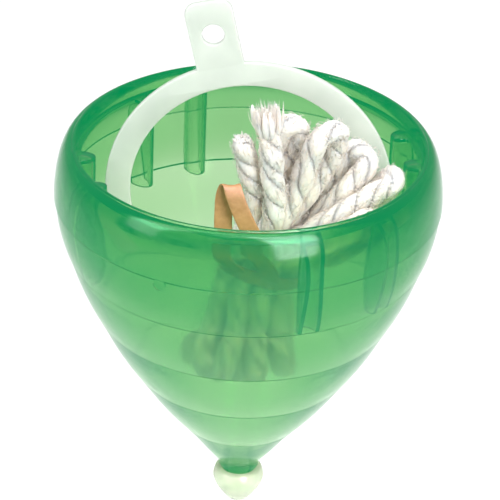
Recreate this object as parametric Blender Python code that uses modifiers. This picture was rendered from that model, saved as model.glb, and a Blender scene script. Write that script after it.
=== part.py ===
"""Hanging wasp trap: a spinning-top bowl on a flat horseshoe hanger, with a tied cotton wick inside.

Metres, +Z up. The origin is the centre of the hanger's hanging hole. The hanger's flat faces look along Y,
its tab leans towards -X, and the bowl's axis is vertical. The front of the trap is its -Y side.
Lengths below are in millimetres, and a depth is measured down from the bowl's rim.
"""

import math

import bmesh
import bpy
from mathutils import Matrix, Vector

MM = 0.001

# Hanger: a horseshoe arch with a tab, cut from one flat thickness.
ARCH_OUTER_R = 51.7
ARCH_INNER_R = 42.6
LEG_LENGTH = 12.0
TAB_HALF_WIDTH = 8.5
TAB_END = 76.5
TAB_CORNER_R = 4.5
HOLE_DISTANCE = 63.7
HOLE_R = 4.0
HANGER_THICKNESS = 2.2
HANGER_LEAN = math.radians(13.0)

# The arch's centre lies on the bowl's axis, this far below the rim.
ARCH_DEPTH = 19.3
AXIS_X = HOLE_DISTANCE * math.sin(HANGER_LEAN)
ARCH_Z = -HOLE_DISTANCE * math.cos(HANGER_LEAN)
RIM_Z = ARCH_Z + ARCH_DEPTH

# Bowl: radius and depth of the lap rings' edges, from the widest ring down.
SEGMENTS = 64
RINGS = [(70.0, 21.0), (65.2, 41.2), (54.8, 65.8), (40.6, 90.6), (22.8, 114.8)]
LAP_STEP = 0.5
BELT_BULGE = 0.7
RIM_OUTER_R = 63.9
RIM_INNER_R = 62.4
RIM_ROUND = 0.6
LEDGE_DEPTH = 6.0
LEDGE_INNER_R = 60.4
LEDGE_THICKNESS = 1.6
NECK_R = 7.4
NECK_DEPTH = 136.6
SPOUT_R = 6.0
SPOUT_DEPTH = 145.2
DRAIN_R = 3.5

# Columns: half-round ribs on the inner wall, in four pairs.
COLUMN_ANGLES = (0.0, 22.0, 110.0, 132.0, 183.0, 205.0, 291.0, 319.0)
COLUMN_R = 3.9
COLUMN_REACH = 6.5
COLUMN_CENTRE_R = 61.5
COLUMN_TOP = 6.0
COLUMN_BOTTOM = 42.0
COLUMN_CORE_INSET = 0.8

# Cap on the spout.
CAP_SOCKET_R = 6.35
CAP_SOCKET_DEPTH = 146.0
CAP_TIP_DEPTH = 153.6

# Wick: six cords folded in two, tied where they pass through twelve places in two rings.
CORD_R = 3.0
POINT_STEP = 4.5
TIE = Vector((6.0, -20.0, -38.0))
TIE_AXIS = Vector((0.33, 0.12, 0.94)).normalized()
TIE_RIGHT = Vector((0.0, 1.0, 0.0)).cross(TIE_AXIS).normalized()
TIE_FRONT = TIE_RIGHT.cross(TIE_AXIS)
INNER_PLACES_R = 4.1
OUTER_PLACES_R = 11.0
TIE_HALF_LENGTH = 7.0

# Rubber band.
BAND_WIDTH = 6.35
BAND_THICKNESS = 1.1
BAND_INNER_R = 14.35


def clear_scene():
    for obj in list(bpy.data.objects):
        bpy.data.objects.remove(obj, do_unlink=True)


def new_collection(name, is_guide=False):
    collection = bpy.data.collections.new(name)
    bpy.context.scene.collection.children.link(collection)
    collection.hide_render = is_guide
    return collection


def material(name, colour, roughness, transmission=0.0):
    made = bpy.data.materials.new(name)
    made.use_nodes = True
    shader = made.node_tree.nodes["Principled BSDF"]
    shader.inputs["Base Color"].default_value = (*colour, 1.0)
    shader.inputs["Roughness"].default_value = roughness
    shader.inputs["Metallic"].default_value = 0.0
    shader.inputs["Transmission Weight"].default_value = transmission
    return made


def add_object(name, data, collection, surface=None):
    obj = bpy.data.objects.new(name, data)
    collection.objects.link(obj)
    if surface is not None:
        data.materials.append(surface)
    return obj


def as_guide(obj):
    obj.hide_render = True
    obj.display_type = "WIRE"
    return obj


def arc(centre, radius, start, end, count):
    """Points along an arc in a plane, from the start angle to the end angle in degrees."""
    points = []
    for step in range(count + 1):
        angle = math.radians(start + (end - start) * step / count)
        points.append((centre[0] + radius * math.cos(angle), centre[1] + radius * math.sin(angle)))
    return points


def turned(name, profile, is_closed, collection, surface=None):
    """An object turned about its Z axis from a profile of (radius, depth) points."""
    mesh = bpy.data.meshes.new(name)
    edges = [(index, index + 1) for index in range(len(profile) - 1)]
    if is_closed:
        edges.append((len(profile) - 1, 0))
    mesh.from_pydata([(radius * MM, 0.0, -depth * MM) for radius, depth in profile], edges, [])
    obj = add_object(name, mesh, collection, surface)
    screw = obj.modifiers.new("turn", "SCREW")
    screw.steps = SEGMENTS
    screw.render_steps = SEGMENTS
    screw.use_merge_vertices = True
    screw.merge_threshold = 0.00001
    return obj


def boolean(obj, operation, other):
    modifier = obj.modifiers.new(operation.lower(), "BOOLEAN")
    modifier.operation = operation
    modifier.solver = "EXACT"
    modifier.object = other


def mesh_of(obj, collection):
    """A plain mesh object of a curve object, with its caps welded, in the curve's place."""
    bpy.context.view_layer.update()
    evaluated = obj.evaluated_get(bpy.context.evaluated_depsgraph_get())
    mesh = bpy.data.meshes.new_from_object(evaluated)
    body = bmesh.new()
    body.from_mesh(mesh)
    bmesh.ops.remove_doubles(body, verts=body.verts, dist=0.00001)
    body.to_mesh(mesh)
    body.free()
    name, place = obj.name, obj.matrix_world.copy()
    bpy.data.objects.remove(obj, do_unlink=True)
    made = add_object(name, mesh, collection)
    made.matrix_world = place
    return made


# ---------------------------------------------------------------- hanger


def hanger_outline():
    """The horseshoe's outline, with its tab along +Y and its centre at the origin."""
    band_half = (ARCH_OUTER_R - ARCH_INNER_R) / 2
    leg_r = ARCH_INNER_R + band_half
    tab_angle = math.degrees(math.asin(TAB_HALF_WIDTH / ARCH_OUTER_R))
    corner_x = TAB_HALF_WIDTH - TAB_CORNER_R
    corner_y = TAB_END - TAB_CORNER_R
    outline = arc((leg_r, -LEG_LENGTH), band_half, 180, 360, 8)
    outline += arc((0, 0), ARCH_OUTER_R, 0, 90 - tab_angle, 18)
    outline += arc((corner_x, corner_y), TAB_CORNER_R, 0, 90, 5)
    outline += arc((-corner_x, corner_y), TAB_CORNER_R, 90, 180, 5)
    outline += arc((0, 0), ARCH_OUTER_R, 90 + tab_angle, 180, 18)
    outline += arc((-leg_r, -LEG_LENGTH), band_half, 180, 360, 8)
    outline += arc((0, 0), ARCH_INNER_R, 180, 0, 36)
    return outline


def add_outline(curve, points):
    spline = curve.splines.new("POLY")
    spline.points.add(len(points) - 1)
    for point, (x, y) in zip(spline.points, points):
        point.co = (x * MM, y * MM, 0.0, 1.0)
    spline.use_cyclic_u = True


def make_hanger(collection):
    surface = material("milky_white_plastic", (0.83, 0.9, 0.83), 0.4)
    curve = bpy.data.curves.new("hanger", "CURVE")
    curve.dimensions = "2D"
    curve.fill_mode = "BOTH"
    curve.extrude = HANGER_THICKNESS / 2 * MM
    add_outline(curve, hanger_outline())
    add_outline(curve, arc((0, HOLE_DISTANCE), HOLE_R, 360, 15, 23))
    flat = add_object("hanger", curve, collection)
    flat.location = (AXIS_X * MM, 0.0, ARCH_Z * MM)
    stood_up = Matrix.Rotation(math.radians(90), 3, "X") @ Matrix.Rotation(HANGER_LEAN, 3, "Z")
    flat.rotation_euler = stood_up.to_euler()
    hanger = mesh_of(flat, collection)
    hanger.data.materials.append(surface)
    return hanger


# ---------------------------------------------------------------- bowl


def outer_profile():
    """Outside of the bowl from the rim down to the foot of the spout."""
    profile = [(RIM_INNER_R + RIM_ROUND, 0.0), (RIM_OUTER_R - RIM_ROUND, 0.0), (RIM_OUTER_R, RIM_ROUND)]
    widest_r, widest_depth = RINGS[0]
    for step in range(1, 6):
        turn = math.radians(18 * step)
        drop = (widest_depth - RIM_ROUND) * (1 - math.cos(turn))
        profile.append((RIM_OUTER_R + (widest_r - RIM_OUTER_R) * math.sin(turn), RIM_ROUND + drop))
    for (upper_r, upper_depth), (lower_r, lower_depth) in zip(RINGS, RINGS[1:]):
        profile += belt(upper_r - LAP_STEP, upper_depth + 0.2, lower_r, lower_depth)
    last_r, last_depth = RINGS[-1]
    profile.append((last_r - LAP_STEP, last_depth + 0.2))
    profile += [(13.2, 127.4), (9.6, 131.8), (7.9, 134.6), (NECK_R, NECK_DEPTH)]
    return profile


def belt(top_r, top_depth, end_r, end_depth):
    """One slightly bulging belt between two lap rings."""
    points = [(top_r, top_depth)]
    for step in (1, 2, 3):
        part = step / 4
        bulge = BELT_BULGE * 4 * part * (1 - part)
        points.append((top_r + (end_r - top_r) * part + bulge, top_depth + (end_depth - top_depth) * part))
    points.append((end_r, end_depth))
    return points


def inner_profile():
    """Inside of the bowl from the foot of the drain up to the collar inside the rim."""
    return [
        (DRAIN_R, SPOUT_DEPTH),
        (DRAIN_R, 133.8),
        (6.6, 133.0),
        (8.6, 129.4),
        (20.4, 114.6),
        (38.2, 90.4),
        (52.4, 65.4),
        (59.2, 50.0),
        (62.4, 40.6),
        (65.0, 26.0),
        (65.6, 18.0),
        (64.4, 10.6),
        (LEDGE_INNER_R, LEDGE_DEPTH + LEDGE_THICKNESS),
        (LEDGE_INNER_R, LEDGE_DEPTH),
        (RIM_INNER_R, LEDGE_DEPTH),
        (RIM_INNER_R, RIM_ROUND),
    ]


def make_columns(collection, guides):
    """The eight ribs as one group of round bars, trimmed to the inside of the bowl's outer face."""
    bars = bmesh.new()
    height = COLUMN_BOTTOM - COLUMN_TOP
    for column_angle in COLUMN_ANGLES:
        angle = math.radians(column_angle)
        x, y = COLUMN_CENTRE_R * math.cos(angle), COLUMN_CENTRE_R * math.sin(angle)
        place = Matrix.Translation((x * MM, y * MM, -(COLUMN_TOP + height / 2) * MM))
        place @= Matrix.Rotation(angle, 4, "Z") @ Matrix.Scale(COLUMN_REACH / COLUMN_R, 4, (1, 0, 0))
        bmesh.ops.create_cone(
            bars,
            cap_ends=True,
            segments=16,
            radius1=COLUMN_R * MM,
            radius2=COLUMN_R * MM,
            depth=height * MM,
            matrix=place @ Matrix.Rotation(angle, 4, "Z"),
        )
    mesh = bpy.data.meshes.new("columns")
    bars.to_mesh(mesh)
    bars.free()
    columns = as_guide(add_object("columns", mesh, guides))
    upper = [point for point in outer_profile() if 1.0 < point[1] < COLUMN_BOTTOM + 6]
    core_profile = [(0.0, 1.0), (upper[0][0] - COLUMN_CORE_INSET, 1.0)]
    core_profile += [(radius - COLUMN_CORE_INSET, depth) for radius, depth in upper]
    core_profile.append((0.0, upper[-1][1]))
    core = as_guide(turned("column_core", core_profile, False, guides))
    boolean(columns, "INTERSECT", core)
    return columns, core


def make_bowl(collection, guides):
    surface = material("clear_green_plastic", (0.05, 0.5, 0.12), 0.08, 0.9)
    profile = outer_profile() + [(SPOUT_R, NECK_DEPTH + 0.8), (SPOUT_R, SPOUT_DEPTH)] + inner_profile()
    bowl = turned("bowl", profile, True, collection, surface)
    columns, core = make_columns(collection, guides)
    boolean(bowl, "UNION", columns)
    return [bowl, columns, core]


# ---------------------------------------------------------------- bottom cap


def make_cap(collection):
    """The pointed knob: a hollow cap pushed up over the bowl's spout."""
    surface = material("natural_clear_plastic", (0.7, 0.85, 0.6), 0.12, 0.8)
    profile = [
        (0.0, 150.4),
        (2.6, 149.6),
        (4.6, 147.6),
        (CAP_SOCKET_R, CAP_SOCKET_DEPTH),
        (CAP_SOCKET_R, 138.0),
        (7.9, 137.9),
        (9.0, 139.2),
        (9.6, 141.4),
        (9.4, 143.2),
        (8.5, 145.4),
        (6.5, 148.7),
        (4.2, 151.6),
        (2.2, 153.2),
        (0.0, CAP_TIP_DEPTH),
    ]
    return turned("bottom_cap", profile, False, collection, surface)


# ---------------------------------------------------------------- wick


def inner_place(angle):
    return INNER_PLACES_R, angle


def outer_place(angle):
    return OUTER_PLACES_R, angle


def tie_point(place, along):
    """A point on the strand that passes through this place in the tie, this far along the bundle."""
    radius, angle = place
    turn = math.radians(angle)
    return TIE + TIE_AXIS * along + (TIE_RIGHT * math.cos(turn) + TIE_FRONT * math.sin(turn)) * radius


def through_tie(place, direction):
    """The two route points of a strand at the tie, going up (1) or down (-1)."""
    return [tie_point(place, -direction * TIE_HALF_LENGTH), tie_point(place, direction * TIE_HALF_LENGTH)]


# Each cord as (first run, place, fold, place, last run): in millimetres from the rim's centre.
CORD_ROUTES = {
    "wick_cord_1": (
        [(-20, -22, -76), (-9, -19, -58)],
        outer_place(200),
        [(3, -14, -14), (8, -13, 4), (12, -13, 14), (16.5, -12, 13.5), (15.5, -10.5, 3), (10.5, -9.5, -16)],
        outer_place(240),
        [(-4, -10, -58), (-12, -10, -82)],
    ),
    "wick_cord_2": (
        [(-9, -27, -80), (-2, -23, -60)],
        inner_place(150),
        [(13, -21, -17), (19.5, -20, 0), (24, -18, 12), (30, -15, 14), (29.5, -13, 5), (20, -15, -13)],
        inner_place(270),
        [(1, -16, -60), (-3, -17, -86)],
    ),
    "wick_cord_3": (
        [(0, -8, -84), (4, -10, -60)],
        outer_place(280),
        [(24, -7.5, -18), (32, -8, -6), (37, -8.5, 3), (42, -12, 1.5), (38, -15.5, -4), (29, -15, -16)],
        outer_place(320),
        [(12, -13, -60), (9, -10, -84)],
    ),
    "wick_cord_4": (
        [(14, -20, -80), (14, -21, -60)],
        outer_place(0),
        [(34, -17, -22), (44, -14, -11), (50, -14, -4), (50, -20, -4), (41, -22, -9), (26, -23, -20)],
        inner_place(30),
        [(5, -22, -62), (4, -25, -84)],
    ),
    "wick_cord_5": (
        [(16, -29, -75), (12, -28, -60)],
        outer_place(40),
        [(31, -24, -29), (40, -25, -20), (45, -27, -15), (41, -32.5, -12), (33, -32, -17), (22, -31, -25)],
        outer_place(80),
        [(4, -31, -58), (6, -34, -74)],
    ),
    "wick_cord_6": (
        [(-3, -23, 14), (-1, -23, 5), (3, -23, -12)],
        outer_place(160),
        [(-10, -27, -58), (-14, -33, -70), (-8, -38, -72), (-3, -33, -58)],
        outer_place(120),
        [(9, -29, -12), (8, -28, 5), (6, -26, 22)],
    ),
}


def cord_route(name):
    first, place_in, fold, place_out, last = CORD_ROUTES[name]
    going = -1 if first[0][2] > TIE.z else 1
    points = [Vector(point) for point in first] + through_tie(place_in, going)
    points += [Vector(point) for point in fold] + through_tie(place_out, -going)
    return points + [Vector(point) for point in last]


def smooth_places(points, step):
    """Places about a step apart on a smooth curve through the points: each as (corners, knots, part)."""
    ends = [points[0] * 2 - points[1], *points, points[-1] * 2 - points[-2]]
    places = []
    for first in range(len(points) - 1):
        corners = ends[first : first + 4]
        knots = [0.0]
        for one, two in zip(corners, corners[1:]):
            knots.append(knots[-1] + math.sqrt((two - one).length))
        count = max(1, round((corners[2] - corners[1]).length / step))
        places += [(first, knots, index / count) for index in range(count)]
    return places


def smooth_line(points, step):
    """The curve itself (centripetal Catmull-Rom), from the first point to the last."""
    ends = [points[0] * 2 - points[1], *points, points[-1] * 2 - points[-2]]
    places = smooth_places(points, step)
    return [curve_point(ends[first : first + 4], knots, part) for first, knots, part in places] + [points[-1]]


def curve_point(corners, knots, part):
    """The point this part of the way between the middle two corners."""
    place = knots[1] + (knots[2] - knots[1]) * part

    def between(first, second, low, high):
        return first.lerp(second, (place - low) / (high - low))

    sides = [between(corners[n], corners[n + 1], knots[n], knots[n + 1]) for n in range(3)]
    left = between(sides[0], sides[1], knots[0], knots[2])
    right = between(sides[1], sides[2], knots[1], knots[3])
    return between(left, right, knots[1], knots[2])


def make_cord(name, surface, collection):
    curve = bpy.data.curves.new(name, "CURVE")
    curve.dimensions = "3D"
    curve.bevel_depth = CORD_R * MM
    curve.bevel_resolution = 2
    curve.use_fill_caps = True
    spline = curve.splines.new("POLY")
    line = smooth_line(cord_route(name), POINT_STEP)
    spline.points.add(len(line) - 1)
    for point, place in zip(spline.points, line):
        point.co = (*(place * MM), 1.0)
    return add_object(name, curve, collection, surface)


# ---------------------------------------------------------------- rubber band

# The spare loop that stands up from the tie: middle of the strip, and the way its width points.
LOOP_ROUTE = (
    ((6.5, -36.6, -27), (0.95, 0, 0.3)),
    ((3.4, -37.6, -19), (0.9, 0, 0.4)),
    ((0.3, -38, -13), (0.9, 0, 0.42)),
    ((-3, -37.6, -5.6), (0.92, 0, 0.38)),
    ((-4.8, -36.9, -0.8), (0.97, 0, 0.2)),
    ((-5.8, -35.2, 1.4), (1, 0, 0)),
    ((-7, -33.6, 0.4), (1, 0, -0.05)),
    ((-8.2, -32.8, -3.5), (1, 0, -0.1)),
    ((-8.5, -32.8, -10), (1, 0, 0)),
    ((-8.3, -33.4, -18), (1, -0.1, 0)),
    ((-7, -34, -26), (0.95, -0.3, 0)),
)
LOOP_FOOT_ANGLES = (78.0, 128.0)
LOOP_STEP = 2.0


def band_loop_sections():
    """Sections of the spare loop: middle and width direction, foot to foot."""
    foot_r = BAND_INNER_R + BAND_THICKNESS / 2
    sections = [(Vector(middle), Vector(width)) for middle, width in LOOP_ROUTE]
    for angle, index in ((LOOP_FOOT_ANGLES[0], 0), (LOOP_FOOT_ANGLES[1], len(sections) + 1)):
        turn = math.radians(angle)
        tangent = TIE_RIGHT * math.sin(turn) - TIE_FRONT * math.cos(turn)
        foot = tie_point((foot_r, angle), 0.0)
        sections.insert(index, (foot, tangent))
    middles = [middle for middle, _ in sections]
    widths = [width for _, width in sections]
    widths = [widths[0], *widths, widths[-1]]
    smoothed = []
    places = smooth_places(middles, LOOP_STEP)
    for (first, knots, part), middle in zip(places, smooth_line(middles, LOOP_STEP)):
        smoothed.append((middle, curve_point(widths[first : first + 4], knots, part)))
    return [*smoothed, sections[-1]]


def make_band(surface, collection, guides):
    profile = [
        (BAND_INNER_R, -BAND_WIDTH / 2),
        (BAND_INNER_R + BAND_THICKNESS, -BAND_WIDTH / 2),
        (BAND_INNER_R + BAND_THICKNESS, BAND_WIDTH / 2),
        (BAND_INNER_R, BAND_WIDTH / 2),
    ]
    band = turned("rubber_band", profile, True, collection, surface)
    band.modifiers["turn"].steps = 40
    band.modifiers["turn"].render_steps = 40
    band.location = TIE * MM
    band.rotation_euler = Vector((0, 0, 1)).rotation_difference(TIE_AXIS).to_euler()
    loop = as_guide(make_band_loop(guides))
    boolean(band, "UNION", loop)
    return [band, loop]


def make_band_loop(guides):
    sections = band_loop_sections()
    body = bmesh.new()
    rings = []
    for index, (middle, width) in enumerate(sections):
        before = sections[max(index - 1, 0)][0]
        after = sections[min(index + 1, len(sections) - 1)][0]
        along = (after - before).normalized()
        side = (width - along * width.dot(along)).normalized() * (BAND_WIDTH / 2)
        face = along.cross(side).normalized() * (BAND_THICKNESS * 0.45)
        corners = (middle - side - face, middle + side - face, middle + side + face, middle - side + face)
        rings.append([body.verts.new(corner * MM) for corner in corners])
    for one, two in zip(rings, rings[1:]):
        for corner in range(4):
            following = (corner + 1) % 4
            body.faces.new((one[corner], one[following], two[following], two[corner]))
    body.faces.new(reversed(rings[0]))
    body.faces.new(rings[-1])
    bmesh.ops.recalc_face_normals(body, faces=body.faces)
    mesh = bpy.data.meshes.new("band_loop")
    body.to_mesh(mesh)
    body.free()
    return add_object("band_loop", mesh, guides)


# ---------------------------------------------------------------- assembly


def smooth_round_faces(collection):
    for obj in collection.objects:
        if obj.type == "MESH":
            obj.data.shade_smooth()
            obj.data.set_sharp_from_angle(angle=math.radians(35))


def build():
    clear_scene()
    trap = new_collection("wasp_trap")
    guides = new_collection("cutters", is_guide=True)
    make_hanger(trap)

    # Everything that moves with the bowl hangs from a pivot on the hinge axis, at the arch's centre.
    pivot = bpy.data.objects.new("bowl_pivot", None)
    pivot.location = (AXIS_X * MM, 0.0, ARCH_Z * MM)
    trap.objects.link(pivot)

    cotton = material("cotton_cord", (0.85, 0.8, 0.7), 0.9)
    rubber = material("tan_rubber", (0.5, 0.33, 0.15), 0.5)
    riders = make_bowl(trap, guides) + [make_cap(trap)]
    riders += [make_cord(name, cotton, trap) for name in CORD_ROUTES]
    riders += make_band(rubber, trap, guides)
    for rider in riders:
        rider.parent = pivot
        rider.location.z += ARCH_DEPTH * MM
    smooth_round_faces(trap)


build()
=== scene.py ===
import math
import random

import bmesh
import bpy
import numpy as np
from mathutils import Matrix, Quaternion, Vector


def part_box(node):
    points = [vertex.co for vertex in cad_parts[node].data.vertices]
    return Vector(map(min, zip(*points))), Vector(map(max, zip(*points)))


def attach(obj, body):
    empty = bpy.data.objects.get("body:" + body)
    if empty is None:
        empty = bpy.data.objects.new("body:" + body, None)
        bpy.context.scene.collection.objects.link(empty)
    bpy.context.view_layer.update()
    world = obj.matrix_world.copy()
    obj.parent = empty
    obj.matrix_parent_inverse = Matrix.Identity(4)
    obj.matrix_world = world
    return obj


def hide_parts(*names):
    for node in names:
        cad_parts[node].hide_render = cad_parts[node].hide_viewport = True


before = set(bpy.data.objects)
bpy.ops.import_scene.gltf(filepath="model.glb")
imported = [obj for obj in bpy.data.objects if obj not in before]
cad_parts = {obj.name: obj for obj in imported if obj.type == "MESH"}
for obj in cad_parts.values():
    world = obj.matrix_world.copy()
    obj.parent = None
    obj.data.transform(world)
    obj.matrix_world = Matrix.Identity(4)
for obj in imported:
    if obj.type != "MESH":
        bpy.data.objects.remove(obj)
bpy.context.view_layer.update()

MM = 0.001
bowl_low, bowl_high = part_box("bowl")
RIM = Vector(((bowl_low.x + bowl_high.x) / 2, (bowl_low.y + bowl_high.y) / 2, bowl_high.z))


def at(x, y, z):
    """A place given in millimetres from the middle of the bowl's rim, in the row frame."""
    return RIM + Vector((x, y, z)) * MM


VIEW_DISTANCE = 1126
VIEW_RISE = math.radians(28.12)
VIEW_ROLL = math.radians(2.14)
AIM_BELOW_RIM = 38.15
AIM_RIGHT = 1.3
LENS_LENGTH = 227.1
SENSOR_WIDTH = 36

forward = Vector((0, math.cos(VIEW_RISE), -math.sin(VIEW_RISE)))
upward = Vector((0, math.sin(VIEW_RISE), math.cos(VIEW_RISE)))
camera_place = RIM - forward * VIEW_DISTANCE * MM
aim = forward * VIEW_DISTANCE + Vector((AIM_RIGHT, 0, 0)) - upward * AIM_BELOW_RIM
turn = aim.to_track_quat("-Z", "Y") @ Quaternion((0, 0, 1), VIEW_ROLL)
bpy.ops.object.camera_add(location=camera_place, rotation=turn.to_euler())
camera = bpy.context.object
camera.name = "camera"
camera.data.lens = LENS_LENGTH
camera.data.sensor_width = SENSOR_WIDTH
camera.data.clip_start = 0.01
bpy.context.scene.camera = camera
bpy.context.scene.view_settings.view_transform = "Standard"


# ------------------------------------------------------------------ wick cords
# Six pieces of soft, undyed cotton cord, each laid up from three loose yarns with a left-hand twist.
# Each piece is folded in two, the folds stand up out of the bowl, and the cut ends hang down in the bait.
TIE = Vector((6, -20, -38))
TIE_AXIS = Vector((0.33, 0.12, 0.94)).normalized()
TIE_RIGHT = Vector((0, 1, 0)).cross(TIE_AXIS).normalized()
TIE_FRONT = TIE_RIGHT.cross(TIE_AXIS)
INNER, OUTER = 4.1, 11.0
TIE_HALF_LENGTH = 7
CORD_DIAMETER = 8.4
CORD_PITCH = 26
YARNS = 3

# Each cord: first run, its place in the tie, the fold, its place on the way back, last run.
CORDS = {
    "wick_cord_1": (
        [(-20, -22, -76), (-9, -19, -58)],
        (OUTER, 200),
        [(3, -14, -14), (8, -13, 4), (12, -13, 14), (16.5, -12, 13.5), (15.5, -10.5, 3), (10.5, -9.5, -16)],
        (OUTER, 240),
        [(-4, -10, -58), (-12, -10, -82)],
    ),
    "wick_cord_2": (
        [(-9, -27, -80), (-2, -23, -60)],
        (INNER, 150),
        [(13, -21, -17), (19.5, -20, 0), (24, -18, 12), (30, -15, 14), (29.5, -13, 5), (20, -15, -13)],
        (INNER, 270),
        [(1, -16, -60), (-3, -17, -86)],
    ),
    "wick_cord_3": (
        [(0, -8, -84), (4, -10, -60)],
        (OUTER, 280),
        [(24, -7.5, -18), (32, -8, -6), (37, -8.5, 3), (42, -12, 1.5), (38, -15.5, -4), (29, -15, -16)],
        (OUTER, 320),
        [(12, -13, -60), (9, -10, -84)],
    ),
    "wick_cord_4": (
        [(14, -20, -80), (14, -21, -60)],
        (OUTER, 0),
        [(34, -17, -22), (44, -14, -11), (50, -14, -4), (50, -20, -4), (41, -22, -9), (26, -23, -20)],
        (INNER, 30),
        [(5, -22, -62), (4, -25, -84)],
    ),
    "wick_cord_5": (
        [(16, -29, -75), (12, -28, -60)],
        (OUTER, 40),
        [(31, -24, -29), (40, -25, -20), (45, -27, -15), (41, -32.5, -12), (33, -32, -17), (22, -31, -25)],
        (OUTER, 80),
        [(4, -31, -58), (6, -34, -74)],
    ),
    "wick_cord_6": (
        [(-3, -23, 14), (-1, -23, 5), (3, -23, -12)],
        (OUTER, 160),
        [(-10, -27, -58), (-14, -33, -70), (-8, -38, -72), (-3, -33, -58)],
        (OUTER, 120),
        [(9, -29, -12), (8, -28, 5), (6, -26, 22)],
    ),
}


def tie_point(place, along):
    """A point on the run of cord in this place of the tie, this far along the bundle."""
    radius, angle = place
    spot = math.radians(angle)
    return TIE + TIE_AXIS * along + (TIE_RIGHT * math.cos(spot) + TIE_FRONT * math.sin(spot)) * radius


def cord_route(name):
    first, place_in, fold, place_out, last = CORDS[name]
    going = -1 if first[0][2] > TIE.z else 1
    points = [Vector(point) for point in first]
    points += [tie_point(place_in, -going * TIE_HALF_LENGTH), tie_point(place_in, going * TIE_HALF_LENGTH)]
    points += [Vector(point) for point in fold]
    points += [tie_point(place_out, going * TIE_HALF_LENGTH), tie_point(place_out, -going * TIE_HALF_LENGTH)]
    return points + [Vector(point) for point in last]


def spline_through(points, step, also=None):
    """A smooth curve (centripetal Catmull-Rom) through the points, and beside it the same blend of also."""
    values = np.array([[*point, *(also[n] if also else ())] for n, point in enumerate(points)], float)
    values = np.vstack([2 * values[0] - values[1], values, 2 * values[-1] - values[-2]])
    line = []
    for n in range(len(points) - 1):
        a, b, c, d = values[n : n + 4]
        t = np.cumsum([0] + [np.linalg.norm(q[:3] - p[:3]) ** 0.5 for p, q in ((a, b), (b, c), (c, d))])
        count = max(1, round(np.linalg.norm(c[:3] - b[:3]) / step))
        for s in t[1] + (t[2] - t[1]) * np.arange(count) / count:
            ab = a + (b - a) * (s - t[0]) / (t[1] - t[0])
            bc = b + (c - b) * (s - t[1]) / (t[2] - t[1])
            cd = c + (d - c) * (s - t[2]) / (t[3] - t[2])
            abc = ab + (bc - ab) * (s - t[0]) / (t[2] - t[0])
            bcd = bc + (cd - bc) * (s - t[1]) / (t[3] - t[1])
            line.append(abc + (bcd - abc) * (s - t[1]) / (t[2] - t[1]))
    line.append(values[-2])
    return np.array(line)


def even_line(line, step):
    """The same curve with its points the same distance apart."""
    runs = np.concatenate([[0], np.cumsum(np.linalg.norm(np.diff(line, axis=0), axis=1))])
    places = np.linspace(0, runs[-1], max(2, round(runs[-1] / step)) + 1)
    spread = [np.interp(places, runs, line[:, axis]) for axis in range(line.shape[1])]
    return np.stack(spread, axis=1), runs[-1]


def frames_along(line):
    """The curve's direction at each point, and two directions across it that turn as little as they can."""
    tangents = np.gradient(line, axis=0)
    tangents /= np.linalg.norm(tangents, axis=1)[:, None]
    across = np.zeros_like(line)
    side = np.cross(tangents[0], (0.3, 0.9, 0.2))
    for n, tangent in enumerate(tangents):
        side = side - tangent * side.dot(tangent)
        side /= np.linalg.norm(side)
        across[n] = side
    return tangents, across, np.cross(tangents, across)


def add_tube(body, centres, radii, sides, uv_layer, twist=0.0):
    """A closed tube around a line of points, added to a mesh, with a UV of turns round and mm along."""
    tangents, across, other = frames_along(centres)
    runs = np.concatenate([[0], np.cumsum(np.linalg.norm(np.diff(centres, axis=0), axis=1))])
    rings = []
    for n, centre in enumerate(centres):
        angles = np.arange(sides) * 2 * math.pi / sides + twist * runs[n]
        ring = centre + radii[n] * (np.cos(angles)[:, None] * across[n] + np.sin(angles)[:, None] * other[n])
        rings.append([body.verts.new(at(*corner)) for corner in ring])
    for n in range(len(rings) - 1):
        for k in range(sides):
            j = (k + 1) % sides
            face = body.faces.new((rings[n][k], rings[n][j], rings[n + 1][j], rings[n + 1][k]))
            for loop, (turns, run) in zip(face.loops, ((k, n), (k + 1, n), (k + 1, n + 1), (k, n + 1))):
                loop[uv_layer].uv = (turns / sides, runs[run])
    body.faces.new(rings[0][::-1])
    body.faces.new(rings[-1])


def object_from(name, mesh_name, body):
    """A smooth-shaded object made from an edited mesh."""
    mesh = bpy.data.meshes.new(mesh_name)
    body.to_mesh(mesh)
    body.free()
    mesh.shade_smooth()
    made = bpy.data.objects.new(name, mesh)
    bpy.context.scene.collection.objects.link(made)
    return made


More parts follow.
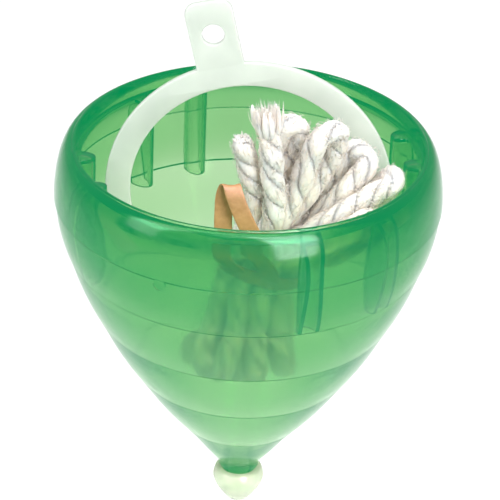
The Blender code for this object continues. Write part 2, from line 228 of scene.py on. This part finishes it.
def cord_mesh(name, centreline, length, frayed_ends):
    """A twisted cord: yarns wound round the centreline, thinner and looser towards a frayed end."""
    randomly = random.Random(name)
    tangents, across, other = frames_along(centreline)
    runs = np.linspace(0, length, len(centreline))
    from_start, from_end = runs, length - runs
    body = bmesh.new()
    uv_layer = body.loops.layers.uv.new("along")
    yarn_r = CORD_DIAMETER * 0.38
    wind_r = CORD_DIAMETER / 2 - yarn_r
    wander = [randomly.uniform(0, 6.3) for _ in range(4)]
    from_tie = (centreline - np.array(TIE)) @ np.array(TIE_AXIS)
    waist = 1 - 0.17 * np.exp(-((from_tie / 7) ** 2))
    for yarn in range(YARNS):
        angle = 2 * math.pi * (yarn / YARNS - runs / CORD_PITCH) + 0.55 * np.sin(runs / 9 + wander[0])
        loose = np.ones(len(runs))
        thin = np.ones(len(runs))
        for near, is_frayed in ((from_start, frayed_ends[0]), (from_end, frayed_ends[1])):
            reach = 13 if is_frayed else 3.5
            part = np.clip(1 - near / reach, 0, 1) ** 1.5
            loose += part * (0.5 if is_frayed else 0.12)
            thin -= part * (0.2 if is_frayed else 0.3)
        swell = 1 + 0.09 * np.sin(runs / 3.7 + wander[1] + yarn * 2)
        swell += 0.05 * np.sin(runs / 1.6 + wander[2] + yarn)
        radius = wind_r * loose * waist
        out = np.cos(angle)[:, None] * across + np.sin(angle)[:, None] * other
        centres = centreline + radius[:, None] * out
        add_tube(body, centres, yarn_r * thin * swell * waist, 14, uv_layer, twist=0.5)
    add_wisps(body, uv_layer, centreline, across, other, tangents, randomly)
    return object_from(name + "_twisted", name, body)


def add_wisps(body, uv_layer, centreline, across, other, tangents, randomly):
    """Loose fibres that stand off the yarns, and a few short ones at each cut end."""
    count = len(centreline)
    for _ in range(count * 12):
        n = randomly.randrange(2, count - 3)
        spot = randomly.uniform(0, 2 * math.pi)
        out = math.cos(spot) * across[n] + math.sin(spot) * other[n]
        sideways = np.cross(tangents[n], out)
        root = centreline[n] + out * CORD_DIAMETER * 0.45
        lean = tangents[n] * randomly.uniform(-2.6, 2.6) + sideways * randomly.uniform(-1.4, 1.4)
        tip = root + lean + out * randomly.uniform(0.3, 1.3)
        middle = (root + tip) / 2 + out * 0.4
        add_tube(body, np.array([root, middle, tip]), (0.13, 0.1, 0.04), 3, uv_layer)
    for n, way in ((0, -1), (count - 1, 1)):
        for _ in range(70):
            spot, reach = randomly.uniform(0, 2 * math.pi), math.sqrt(randomly.random())
            out = math.cos(spot) * across[n] + math.sin(spot) * other[n]
            root = centreline[n] + out * reach * CORD_DIAMETER * 0.36 - tangents[n] * way * 1.2
            tip = root + tangents[n] * way * randomly.uniform(1.2, 2.6)
            tip = tip + out * reach * randomly.uniform(-0.6, 0.8)
            add_tube(body, np.array([root, (root + tip) / 2, tip]), (0.24, 0.2, 0.08), 4, uv_layer)


def tuft_mesh(name, centreline):
    """The frayed end of a cord: soft tapered tufts of its yarns, with loose threads among them."""
    randomly = random.Random(name)
    tangents, across, other = frames_along(centreline)
    body = bmesh.new()
    uv_layer = body.loops.layers.uv.new("along")
    tufts, threads = 9, 200
    for n in range(tufts + threads):
        spot = 2 * math.pi * n / (tufts - 1) + randomly.uniform(-0.3, 0.3)
        reach = (0.1 if n == 0 else 1.0) if n < tufts else math.sqrt(randomly.random()) * 1.2
        out = (math.cos(spot) * across[-1] + math.sin(spot) * other[-1]) * reach
        root = centreline[-1] + out * CORD_DIAMETER * 0.26 - tangents[-1] * 5
        tip = root + tangents[-1] * randomly.uniform(9.5, 12.5) + out * randomly.uniform(1.2, 3.6)
        thick = randomly.uniform(1.25, 1.6) if n < tufts else randomly.uniform(0.08, 0.2)
        bend = out * 0.7 + across[-1] * randomly.uniform(-0.5, 0.5)
        parts = np.linspace(0, 1, 9)
        line = [root + (tip - root) * part + bend * 4 * part * (1 - part) for part in parts]
        radii = thick * np.array([0.8, 0.95, 1.0, 1.0, 0.95, 0.85, 0.7, 0.5, 0.22])
        add_tube(body, np.array(line), radii, 12 if n < tufts else 4, uv_layer)
    return object_from(name, name, body)


def linear(hex_colour):
    """An sRGB hex colour as linear red, green, blue and alpha."""
    parts = [int(hex_colour[n : n + 2], 16) / 255 for n in (0, 2, 4)]
    return (*[p / 12.92 if p <= 0.04045 else ((p + 0.055) / 1.055) ** 2.4 for p in parts], 1.0)


def new_material(name, **values):
    """A material and its main shader, with plain values set on the shader's own sockets."""
    made = bpy.data.materials.new(name)
    made.use_nodes = True
    shader = made.node_tree.nodes["Principled BSDF"]
    for socket, value in values.items():
        shader.inputs[socket.replace("_", " ")].default_value = value
    return made, shader


def add_node(material, kind, links=(), **settings):
    """One node with its settings and values, and its links as (from socket, to input) pairs."""
    node = material.node_tree.nodes.new(kind)
    for name, value in settings.items():
        if hasattr(node, name):
            setattr(node, name, value)
        else:
            node.inputs[name.replace("_", " ")].default_value = value
    for source, target in links:
        material.node_tree.links.new(source, node.inputs[target])
    return node


def link(material, source, target):
    material.node_tree.links.new(source, target)


# Undyed cotton roving: matt, soft and slightly see-through at its edges, so its shadows stay light and warm.
# A yarn's fibres are hundredths of a millimetre thick. They are drawn as 0.35 mm streaks so that they show.
cotton, cotton_shader = new_material(
    "undyed_cotton_yarn",
    Roughness=0.95,
    IOR=1.45,
    Sheen_Weight=0.35,
    Sheen_Roughness=0.6,
    Subsurface_Weight=0.8,
    Subsurface_Scale=0.004,
)
cotton_shader.inputs["Specular IOR Level"].default_value = 0.15
cotton_shader.inputs["Subsurface Radius"].default_value = (1.0, 0.85, 0.7)
cotton_uv = add_node(cotton, "ShaderNodeUVMap", uv_map="along")
fibre_stretch = add_node(
    cotton, "ShaderNodeMapping", [(cotton_uv.outputs["UV"], "Vector")], Scale=(16, 0.35, 1)
)
fibres = add_node(
    cotton,
    "ShaderNodeTexNoise",
    [(fibre_stretch.outputs["Vector"], "Vector")],
    Scale=1.0,
    Detail=4.0,
    Roughness=0.6,
)
cotton_place = add_node(cotton, "ShaderNodeTexCoord")
patches = add_node(
    cotton, "ShaderNodeTexNoise", [(cotton_place.outputs["Object"], "Vector")], Scale=160.0, Detail=3.0
)
cotton_tint = add_node(cotton, "ShaderNodeValToRGB", [(patches.outputs["Fac"], "Fac")])
cotton_tint.color_ramp.elements[0].position = 0.35
cotton_tint.color_ramp.elements[0].color = linear("F7E9DA")
cotton_tint.color_ramp.elements[1].position = 0.62
cotton_tint.color_ramp.elements[1].color = linear("FDF4E8")
streak = add_node(
    cotton,
    "ShaderNodeMapRange",
    [(fibres.outputs["Fac"], "Value")],
    From_Min=0.3,
    From_Max=0.7,
    To_Min=0.9,
    To_Max=1.0,
)
cotton_colour = add_node(
    cotton,
    "ShaderNodeVectorMath",
    [(cotton_tint.outputs["Color"], 0), (streak.outputs["Result"], "Scale")],
    operation="SCALE",
)
link(cotton, cotton_colour.outputs["Vector"], cotton_shader.inputs["Base Color"])
cotton_bump = add_node(
    cotton, "ShaderNodeBump", [(fibres.outputs["Fac"], "Height")], Strength=0.35, Distance=0.0004
)
link(cotton, cotton_bump.outputs["Normal"], cotton_shader.inputs["Normal"])

for cord_name in CORDS:
    line, cord_length = even_line(spline_through(cord_route(cord_name), 0.6), 1.0)
    frayed = (False, cord_name == "wick_cord_6")
    cord_piece = cord_mesh(cord_name, line, cord_length, frayed)
    cord_piece.data.materials.append(cotton)
    if frayed[1]:
        tuft = tuft_mesh("frayed_tuft", line)
        tuft.data.materials.append(cotton)
        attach(tuft, "wick")
    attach(cord_piece, "wick")
    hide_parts(cord_name)


# ------------------------------------------------------------------ rubber band
# A flat quarter-inch band of natural tan rubber, wrapped round the bundle to tie it. Its spare loop stands
# up at the left in front of the cords and folds over backwards at its top.
BAND_INNER_R = 14.35
BAND_WIDTH = 6.35
BAND_THICKNESS = 1.1
BAND_LOOP = (
    ((6.5, -36.6, -27), (0.95, 0, 0.3)),
    ((3.4, -37.6, -19), (0.9, 0, 0.4)),
    ((0.3, -38, -13), (0.9, 0, 0.42)),
    ((-3, -37.6, -5.6), (0.92, 0, 0.38)),
    ((-4.8, -36.9, -0.8), (0.97, 0, 0.2)),
    ((-5.8, -35.2, 1.4), (1, 0, 0)),
    ((-7, -33.6, 0.4), (1, 0, -0.05)),
    ((-8.2, -32.8, -3.5), (1, 0, -0.1)),
    ((-8.5, -32.8, -10), (1, 0, 0)),
    ((-8.3, -33.4, -18), (1, -0.1, 0)),
    ((-7, -34, -26), (0.95, -0.3, 0)),
)


def band_strip(name, middles, widths, is_closed, half_thickness):
    """A strip of rubber with rounded edges, along its middle line with its width along the widths."""
    body = bmesh.new()
    uv_layer = body.loops.layers.uv.new("along")
    tangents = np.roll(middles, -1, axis=0) - np.roll(middles, 1, axis=0)
    if not is_closed:
        tangents = np.gradient(middles, axis=0)
    rings = []
    for middle, width, tangent in zip(middles, widths, tangents):
        tangent = tangent / np.linalg.norm(tangent)
        side = width - tangent * width.dot(tangent)
        side = side / np.linalg.norm(side)
        face = np.cross(tangent, side)
        half = BAND_WIDTH / 2
        section = []
        for spot in range(16):
            turn = 2 * math.pi * (spot + 0.5) / 16
            u = math.copysign(abs(math.cos(turn)) ** 0.35, math.cos(turn)) * half
            v = math.copysign(abs(math.sin(turn)) ** 0.5, math.sin(turn)) * half_thickness
            section.append(body.verts.new(at(*(middle + side * u + face * v))))
        rings.append(section)
    count = len(rings) if is_closed else len(rings) - 1
    for n in range(count):
        one, two = rings[n], rings[(n + 1) % len(rings)]
        for k in range(16):
            j = (k + 1) % 16
            face = body.faces.new((one[k], one[j], two[j], two[k]))
            for loop, (turns, run) in zip(face.loops, ((k, n), (k + 1, n), (k + 1, n + 1), (k, n + 1))):
                loop[uv_layer].uv = (turns / 16, run)
    if not is_closed:
        body.faces.new(rings[0][::-1])
        body.faces.new(rings[-1])
    bmesh.ops.recalc_face_normals(body, faces=body.faces)
    return object_from(name, name, body)


band_r = BAND_INNER_R + BAND_THICKNESS / 2
foot_right, foot_left = tie_point((band_r, 78), 0), tie_point((band_r, 128), 0)
spots = np.radians(np.arange(96) * 3.75)
ring_middles = np.array([tie_point((band_r + 0.1 * math.sin(5 * s), math.degrees(s)), 0) for s in spots])
ring_widths = np.array([TIE_AXIS] * len(spots))
band_ring = band_strip("rubber_band_ring", ring_middles, ring_widths, True, BAND_THICKNESS / 2)
loop_middles = [foot_right, *[Vector(middle) for middle, _ in BAND_LOOP], foot_left]
loop_widths = [Vector((1, 0, 0)), *[Vector(width) for _, width in BAND_LOOP], Vector((0.8, -0.5, 0))]
loop_line = spline_through(loop_middles, 0.7, loop_widths)
band_loop = band_strip("rubber_band_loop", loop_line[:, :3], loop_line[:, 3:], False, BAND_THICKNESS * 0.42)

# Natural rubber, cut from tube: tan, satin and a little see-through, darker where it is in shade.
rubber, rubber_shader = new_material(
    "natural_tan_rubber", Roughness=0.55, IOR=1.52, Subsurface_Weight=0.25, Subsurface_Scale=0.0012
)
rubber_shader.inputs["Subsurface Radius"].default_value = (1.0, 0.55, 0.25)
rubber_place = add_node(rubber, "ShaderNodeTexCoord")
bloom = add_node(
    rubber,
    "ShaderNodeTexNoise",
    [(rubber_place.outputs["Object"], "Vector")],
    Scale=420.0,
    Detail=4.0,
    Roughness=0.6,
)
rubber_tint = add_node(rubber, "ShaderNodeValToRGB", [(bloom.outputs["Fac"], "Fac")])
rubber_tint.color_ramp.elements[0].position = 0.3
rubber_tint.color_ramp.elements[0].color = linear("A67B4C")
rubber_tint.color_ramp.elements[1].position = 0.7
rubber_tint.color_ramp.elements[1].color = linear("BC9063")
link(rubber, rubber_tint.outputs["Color"], rubber_shader.inputs["Base Color"])
rubber_bump = add_node(
    rubber, "ShaderNodeBump", [(bloom.outputs["Fac"], "Height")], Strength=0.25, Distance=0.0003
)
link(rubber, rubber_bump.outputs["Normal"], rubber_shader.inputs["Normal"])
for band_piece in (band_ring, band_loop):
    band_piece.data.materials.append(rubber)
    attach(band_piece, "wick")
    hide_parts("rubber_band")


# ------------------------------------------------------------------ bowl
# One clear green moulding, turned like a spinning top: a collar and a ledge for the lid inside the rim,
# five lap rings outside, eight rounded columns in pairs on the inner wall, and a spout at the foot.
TURN_STEPS = 160
RINGS = [(70.0, 21.0), (65.2, 41.2), (54.8, 65.8), (40.6, 90.6), (22.8, 114.8)]
LAP_STEP = 0.55
LAP_GROOVE = 1.1
SPOUT_END = 145.2


def deselect_all():
    if bpy.context.object and bpy.context.object.mode == "EDIT":
        bpy.ops.object.mode_set(mode="OBJECT")
    bpy.ops.object.select_all(action="DESELECT")


def turned(name, profile, is_closed):
    """A profile of (radius, depth) points drawn point by point and spun about the bowl's axis."""
    deselect_all()
    bpy.ops.mesh.primitive_plane_add(size=0.001, location=at(profile[0][0], 0, -profile[0][1]))
    made = bpy.context.object
    made.name = name
    bpy.ops.object.transform_apply(location=True, rotation=True, scale=True)
    bpy.ops.object.mode_set(mode="EDIT")
    bpy.ops.mesh.merge(type="CENTER")
    for (radius, depth), (next_radius, next_depth) in zip(profile, profile[1:]):
        step = ((next_radius - radius) * MM, 0, (depth - next_depth) * MM)
        bpy.ops.mesh.extrude_region_move(TRANSFORM_OT_translate={"value": step})
    if is_closed:
        bpy.ops.mesh.select_all(action="DESELECT")
        select_vertices(made, lambda corner: (corner - at(profile[0][0], 0, -profile[0][1])).length < 1e-7)
        select_vertices(made, lambda corner: (corner - at(profile[-1][0], 0, -profile[-1][1])).length < 1e-7)
        bpy.ops.mesh.edge_face_add()
    bpy.ops.mesh.select_all(action="SELECT")
    bpy.ops.mesh.spin(steps=TURN_STEPS, angle=2 * math.pi, center=RIM, axis=(0, 0, 1))
    bpy.ops.mesh.select_all(action="SELECT")
    bpy.ops.mesh.remove_doubles(threshold=0.000005)
    bpy.ops.mesh.normals_make_consistent(inside=False)
    bpy.ops.object.mode_set(mode="OBJECT")
    return made


def select_vertices(made, is_wanted):
    """Adds the vertices of the wanted places to the selection, in edit mode."""
    body = bmesh.from_edit_mesh(made.data)
    for vertex in body.verts:
        if is_wanted(vertex.co):
            vertex.select = True
    body.select_flush(True)
    bmesh.update_edit_mesh(made.data)


def belt(top_r, top_depth, end_r, end_depth, bulge):
    """A slightly bulging belt of wall from one lap ring to the next."""
    points = [(top_r, top_depth)]
    for part in (0.125, 0.25, 0.375, 0.5, 0.625, 0.75, 0.875):
        out = bulge * 4 * part * (1 - part)
        points.append((top_r + (end_r - top_r) * part + out, top_depth + (end_depth - top_depth) * part))
    return points


def soften(points, rounds):
    """Rounds the corners of an open profile by cutting them, keeping its two ends."""
    for _ in range(rounds):
        cut = [points[0]]
        for (r1, d1), (r2, d2) in zip(points, points[1:]):
            for near, far in ((0.75, 0.25), (0.25, 0.75)):
                cut.append((r1 * near + r2 * far, d1 * near + d2 * far))
        points = [*cut, points[-1]]
    return points


outside = [(63.0, 0.0), (63.3, 0.0), (63.55, 0.08), (63.8, 0.3), (63.9, 0.6)]
for step in range(1, 16):
    spot = math.radians(6 * step)
    outside.append((63.9 + 6.1 * math.sin(spot), 0.6 + 20.4 * (1 - math.cos(spot))))
for (upper_r, upper_depth), (lower_r, lower_depth) in zip(RINGS, RINGS[1:]):
    outside.append((upper_r - LAP_GROOVE, upper_depth + 0.2))
    outside += belt(upper_r - LAP_STEP, upper_depth + 0.5, lower_r, lower_depth, 0.9)
    outside += [(lower_r + 0.01, lower_depth - 0.12), (lower_r, lower_depth)]
outside.append((22.3, 115.0))
outside += soften([(22.0, 115.4), (13.2, 127.4), (9.6, 131.8), (7.9, 134.6), (7.4, 136.6)], 2)
outside += [(6.05, 137.3), (6.0, 137.6), (6.0, 144.8), (5.7, SPOUT_END)]
inside = [(3.8, SPOUT_END), (3.5, 144.9), (3.5, 134.2), (3.8, 133.8), (6.2, 133.1)]
wall = [(6.6, 133.0), (8.6, 129.4), (20.4, 114.6), (38.2, 90.4), (52.4, 65.4), (59.2, 50.0), (62.4, 40.6)]
wall += [(65.0, 26.0), (65.6, 18.0), (64.4, 10.6), (61.2, 8.0)]
inside += soften(wall, 2)
inside += [(60.6, 7.5), (60.4, 7.3), (60.4, 6.2), (60.6, 6.0), (62.2, 6.0), (62.4, 5.8)]
inside += [(62.4, 0.6), (62.6, 0.15)]
bowl = turned("clear_bowl", outside + inside, True)


def smooth_by_angle(piece, degrees):
    """Smooth shading, with an edge kept sharp where the surface turns by more than this."""
    piece.data.shade_smooth()
    deselect_all()
    piece.select_set(True)
    bpy.context.view_layer.objects.active = piece
    bpy.ops.object.shade_smooth_by_angle(angle=math.radians(degrees))


def apply_boolean(piece, operation, other):
    modifier = piece.modifiers.new(operation.lower(), "BOOLEAN")
    modifier.operation = operation
    modifier.solver = "EXACT"
    modifier.object = other
    deselect_all()
    piece.select_set(True)
    bpy.context.view_layer.objects.active = piece
    bpy.ops.object.modifier_apply(modifier=modifier.name)
    bpy.data.objects.remove(other)


# The columns are oval tubes let into the wall, closed at the top and open below, so only their inner halves
# show. They are trimmed just inside the bowl's outer face and end at the second lap ring.
COLUMN_ANGLES = (0, 22, 110, 132, 183, 205, 291, 319)
COLUMN_CENTRE_R = 61.5
COLUMN_HALF_WIDTH, COLUMN_HALF_DEPTH = 3.9, 6.5
COLUMN_TOP, COLUMN_END = 6, 42
COLUMN_WALL = 1.4


def oval_bars(half_width, half_depth, top, end, rounding):
    """Eight upright oval bars on the columns' places, joined, from one depth to another."""
    bars = []
    for angle in COLUMN_ANGLES:
        spot = math.radians(angle)
        deselect_all()
        bpy.ops.mesh.primitive_cylinder_add(
            vertices=48,
            radius=half_width * MM,
            depth=(end - top) * MM,
            location=at(COLUMN_CENTRE_R * math.cos(spot), COLUMN_CENTRE_R * math.sin(spot), -(top + end) / 2),
            rotation=(0, 0, spot),
            scale=(half_depth / half_width, 1, 1),
        )
        bar = bpy.context.object
        bpy.ops.object.transform_apply(location=True, rotation=True, scale=True)
        bpy.ops.object.mode_set(mode="EDIT")
        bpy.ops.mesh.select_all(action="DESELECT")
        select_vertices(bar, lambda corner: corner.z > RIM.z - (top + 1) * MM)
        bpy.ops.mesh.bevel(offset=rounding * MM, segments=3)
        bpy.ops.object.mode_set(mode="OBJECT")
        bars.append(bar)
    deselect_all()
    for bar in bars:
        bar.select_set(True)
    bpy.context.view_layer.objects.active = bars[0]
    bpy.ops.object.join()
    return bars[0]


column_bars = oval_bars(COLUMN_HALF_WIDTH, COLUMN_HALF_DEPTH, COLUMN_TOP, COLUMN_END, 0.35)
trim = [(radius - 0.8, depth) for radius, depth in outside if 2 < depth < 64]
apply_boolean(column_bars, "INTERSECT", turned("trim", [(0, 2.0), *trim, (0, trim[-1][1])], False))
hollows = oval_bars(
    COLUMN_HALF_WIDTH - COLUMN_WALL, COLUMN_HALF_DEPTH - COLUMN_WALL, COLUMN_TOP + 2, COLUMN_END + 1, 0.6
)
apply_boolean(column_bars, "DIFFERENCE", hollows)
apply_boolean(bowl, "UNION", column_bars)

# A small round gate mark stands on the first lap ring, left of the front.
GATE_MARK_ANGLE = math.radians(-115)
GATE_MARK_CENTRE_R, GATE_MARK_DEPTH, GATE_MARK_R, GATE_MARK_LENGTH = 67.95, 22.5, 2.3, 4
gate_x = GATE_MARK_CENTRE_R * math.cos(GATE_MARK_ANGLE)
gate_y = GATE_MARK_CENTRE_R * math.sin(GATE_MARK_ANGLE)
deselect_all()
bpy.ops.mesh.primitive_cylinder_add(
    vertices=32,
    radius=GATE_MARK_R * MM,
    depth=GATE_MARK_LENGTH * MM,
    location=at(gate_x, gate_y, -GATE_MARK_DEPTH),
    rotation=(0, math.radians(90), GATE_MARK_ANGLE),
)
gate_mark = bpy.context.object
bpy.ops.object.transform_apply(location=True, rotation=True, scale=True)
apply_boolean(bowl, "UNION", gate_mark)
smooth_by_angle(bowl, 22)

# Injection-moulded SAN: as clear and glossy as glass, tinted right through, so thick walls and edges are
# deep and thin ones pale. Light is taken up per metre of plastic, and a faint green glow is painted in: an
# emission inside the plastic stands in for the light that wanders inside it. A slow ripple in the surface is
# the mould's polish, with 12 mm waves.
plastic, plastic_shader = new_material(
    "clear_green_san",
    Base_Color=(1, 1, 1, 1),
    Roughness=0.12,
    IOR=1.4,
    Transmission_Weight=1.0,
    Specular_Tint=(0.4, 1.0, 0.65, 1.0),
)
plastic_place = add_node(plastic, "ShaderNodeTexCoord")
ripple = add_node(
    plastic,
    "ShaderNodeTexNoise",
    [(plastic_place.outputs["Object"], "Vector")],
    Scale=80.0,
    Detail=2.0,
    Roughness=0.4,
)
ripple_bump = add_node(
    plastic, "ShaderNodeBump", [(ripple.outputs["Fac"], "Height")], Strength=0.1, Distance=0.0008
)
link(plastic, ripple_bump.outputs["Normal"], plastic_shader.inputs["Normal"])
tint = add_node(plastic, "ShaderNodeVolumeAbsorption", Color=(0.34, 0.58, 0.16, 1.0), Density=500.0)
# Painted glow: a green emission in the plastic's volume stands in for light wandering inside the wall; it is
# no lamp.
glow = add_node(plastic, "ShaderNodeEmission", Color=(0.0, 1.0, 0.6, 1.0), Strength=58.0)
tint_and_glow = [(tint.outputs["Volume"], 0), (glow.outputs["Emission"], 1)]
# The plastic's volume is the green dye's absorption plus the painted glow.
dye_and_painted_glow = add_node(plastic, "ShaderNodeAddShader", tint_and_glow)
plastic_out = plastic.node_tree.nodes["Material Output"]
link(plastic, dye_and_painted_glow.outputs["Shader"], plastic_out.inputs["Volume"])
bowl.data.materials.clear()
bowl.data.materials.append(plastic)
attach(bowl, "bowl")
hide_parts("bowl")


# ------------------------------------------------------------------ bottom cap
# A hollow pointed cap in natural, nearly colourless plastic, moulded in one piece. It is a push fit over
# the bowl's spout and comes off to drain the trap.
cap_outside = [(7.9, 137.9), (8.6, 138.3), (9.0, 139.2), (9.45, 140.6), (9.6, 141.8), (9.3, 143.4)]
cap_outside += [(8.5, 145.4), (6.5, 148.7), (4.4, 151.4), (2.6, 152.9), (1.2, 153.5), (0.0, 153.6)]
cap_inside = [(0.0, 150.4), (2.6, 149.6), (4.6, 147.6), (6.3, 146.2)]
cap_inside += [(6.35, 145.8), (6.35, 138.2), (6.6, 137.9)]
cap = turned("pointed_cap", cap_inside + soften(cap_outside, 1), False)
smooth_by_angle(cap, 40)

# Polypropylene with no dye: clear with a faint haze, so it is brighter than the green wall above it.
natural, natural_shader = new_material(
    "natural_polypropylene",
    Base_Color=linear("E9F6DC"),
    Roughness=0.16,
    IOR=1.49,
    Transmission_Weight=0.6,
)
natural_place = add_node(natural, "ShaderNodeTexCoord")
haze = add_node(
    natural, "ShaderNodeTexNoise", [(natural_place.outputs["Object"], "Vector")], Scale=260.0, Detail=2.0
)
haze_bump = add_node(
    natural, "ShaderNodeBump", [(haze.outputs["Fac"], "Height")], Strength=0.15, Distance=0.0004
)
link(natural, haze_bump.outputs["Normal"], natural_shader.inputs["Normal"])
natural_tint = add_node(natural, "ShaderNodeVolumeAbsorption", Color=(0.45, 0.85, 0.3, 1.0), Density=20.0)
natural_out = natural.node_tree.nodes["Material Output"]
link(natural, natural_tint.outputs["Volume"], natural_out.inputs["Volume"])
cap.data.materials.append(natural)
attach(cap, "cap")
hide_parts("bottom_cap")


# ------------------------------------------------------------------ hanger
# A flat horseshoe with a tab and a round hole, moulded in one piece of milky white plastic. Its legs
# reach down inside the bowl and hold it at the middle of the arch, so the bowl can tilt.
ARCH_OUTER_R, ARCH_INNER_R = 51.7, 42.6
LEG_LENGTH, TAB_HALF_WIDTH, TAB_END, TAB_CORNER_R = 12, 8.5, 76.5, 4.5
HOLE_DISTANCE, HOLE_R = 63.7, 4.0
HANGER_THICKNESS = 2.2
HANGER_LEAN = math.radians(13)
ARCH_CENTRE_DEPTH = 19.3
EDGE_ROUNDING = 0.35


def arc(centre_x, centre_y, radius, start, end, count):
    """Points along an arc, from one angle to another in degrees."""
    spots = [math.radians(start + (end - start) * n / count) for n in range(count + 1)]
    return [(centre_x + radius * math.cos(s), centre_y + radius * math.sin(s)) for s in spots]


leg_r = (ARCH_OUTER_R - ARCH_INNER_R) / 2
leg_x = ARCH_INNER_R + leg_r
tab_angle = math.degrees(math.asin(TAB_HALF_WIDTH / ARCH_OUTER_R))
tab_x, tab_y = TAB_HALF_WIDTH - TAB_CORNER_R, TAB_END - TAB_CORNER_R
outline = arc(leg_x, -LEG_LENGTH, leg_r, 180, 360, 20)
outline += arc(0, 0, ARCH_OUTER_R, 0, 90 - tab_angle, 48)
outline += arc(tab_x, tab_y, TAB_CORNER_R, 0, 90, 12)
outline += arc(-tab_x, tab_y, TAB_CORNER_R, 90, 180, 12)
outline += arc(0, 0, ARCH_OUTER_R, 90 + tab_angle, 180, 48)
outline += arc(-leg_x, -LEG_LENGTH, leg_r, 180, 360, 20)
outline += arc(0, 0, ARCH_INNER_R, 180, 0, 96)
hanger_curve = bpy.data.curves.new("hanger_outline", "CURVE")
hanger_curve.dimensions = "2D"
hanger_curve.fill_mode = "BOTH"
hanger_curve.extrude = (HANGER_THICKNESS / 2 - EDGE_ROUNDING) * MM
hanger_curve.bevel_depth = EDGE_ROUNDING * MM
hanger_curve.bevel_resolution = 2
hanger_curve.offset = -EDGE_ROUNDING * MM
for points in (outline, arc(0, HOLE_DISTANCE, HOLE_R, 360, 7.5, 47)):
    spline = hanger_curve.splines.new("POLY")
    spline.points.add(len(points) - 1)
    for point, (x, y) in zip(spline.points, points):
        point.co = (x * MM, y * MM, 0, 1)
    spline.use_cyclic_u = True
hanger = bpy.data.objects.new("horseshoe_hanger", hanger_curve)
bpy.context.scene.collection.objects.link(hanger)
stood_up = Matrix.Rotation(math.radians(90), 4, "X") @ Matrix.Rotation(HANGER_LEAN, 4, "Z")
hanger.matrix_world = Matrix.Translation(at(0, 0, -ARCH_CENTRE_DEPTH)) @ stood_up
deselect_all()
hanger.select_set(True)
bpy.context.view_layer.objects.active = hanger
bpy.ops.object.convert(target="MESH")
bpy.ops.object.transform_apply(location=True, rotation=True, scale=True)
bpy.ops.object.mode_set(mode="EDIT")
bpy.ops.mesh.select_all(action="SELECT")
bpy.ops.mesh.remove_doubles(threshold=0.00001)
bpy.ops.mesh.normals_make_consistent(inside=False)
bpy.ops.object.mode_set(mode="OBJECT")
smooth_by_angle(hanger, 30)

# Low-density polyethylene, injection moulded: milky, waxy and softly see-through, with a satin face.
milky, milky_shader = new_material(
    "milky_polyethylene", Roughness=0.38, IOR=1.51, Subsurface_Weight=0.5, Subsurface_Scale=0.003
)
milky_shader.inputs["Subsurface Radius"].default_value = (0.9, 1.0, 0.9)
milky_shader.inputs["Specular IOR Level"].default_value = 0.2
milky_place = add_node(milky, "ShaderNodeTexCoord")
flow = add_node(
    milky, "ShaderNodeTexNoise", [(milky_place.outputs["Object"], "Vector")], Scale=60.0, Detail=3.0
)
milky_tint = add_node(milky, "ShaderNodeValToRGB", [(flow.outputs["Fac"], "Fac")])
milky_tint.color_ramp.elements[0].position = 0.3
milky_tint.color_ramp.elements[0].color = linear("BFC8BF")
milky_tint.color_ramp.elements[1].position = 0.7
milky_tint.color_ramp.elements[1].color = linear("C8D0C7")
link(milky, milky_tint.outputs["Color"], milky_shader.inputs["Base Color"])
grain = add_node(
    milky, "ShaderNodeTexNoise", [(milky_place.outputs["Object"], "Vector")], Scale=1800.0, Detail=2.0
)
milky_bump = add_node(
    milky, "ShaderNodeBump", [(grain.outputs["Fac"], "Height")], Strength=0.12, Distance=0.0001
)
link(milky, milky_bump.outputs["Normal"], milky_shader.inputs["Normal"])
hanger.data.materials.append(milky)
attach(hanger, "hanger")
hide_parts("hanger")


# ------------------------------------------------------------------ studio
# The trap hangs over a plain white floor, lit by two soft boxes in front and a larger one overhead. Two
# tall pink cards are seen only in glossy faces: the green plastic sends them back as the two pale patches
# on the collar.
deselect_all()
bpy.ops.mesh.primitive_plane_add(size=12, location=(RIM.x, RIM.y, bowl_low.z - 0.25))
floor = bpy.context.object
floor.name = "floor"
paper, paper_shader = new_material("white_paper", Base_Color=linear("FAFAFA"), Roughness=0.9)
paper_shader.inputs["Emission Color"].default_value = (1, 1, 1, 1)
paper_shader.inputs["Emission Strength"].default_value = 0.14
floor.data.materials.append(paper)

world = bpy.data.worlds.new("studio")
world.use_nodes = True
world.node_tree.nodes["Background"].inputs["Color"].default_value = (1, 1, 1, 1)
world.node_tree.nodes["Background"].inputs["Strength"].default_value = 0.5
bpy.context.scene.world = world


def soft_box(name, azimuth, rise, distance, width, height, power, is_card=False):
    """A soft box aimed at the collar, or a card that is seen in glossy faces but doesn't light matt ones."""
    spot, lift = math.radians(azimuth), math.radians(rise)
    way = Vector((math.sin(spot) * math.cos(lift), -math.cos(spot) * math.cos(lift), math.sin(lift)))
    deselect_all()
    bpy.ops.object.light_add(type="AREA", location=RIM + way * distance)
    box = bpy.context.object
    box.name = name
    box.rotation_euler = (-way).to_track_quat("-Z", "Y").to_euler()
    box.data.shape = "RECTANGLE"
    box.data.size, box.data.size_y = width, height
    box.data.energy = power
    box.visible_diffuse = not is_card
    if is_card:
        box.data.color = (1, 0.5, 0.7)


soft_box("soft_box_right", 28, 34, 1.3, 0.5, 0.6, 15)
soft_box("soft_box_left", -62, 34, 1.4, 0.5, 0.4, 7)
soft_box("soft_box_top", 20, 80, 1.5, 1.2, 1.2, 15)
soft_box("card_right", 28, 34, 1.3, 0.62, 2.0, 78, True)
soft_box("card_left", -62, 34, 1.4, 0.5, 1.6, 18, True)
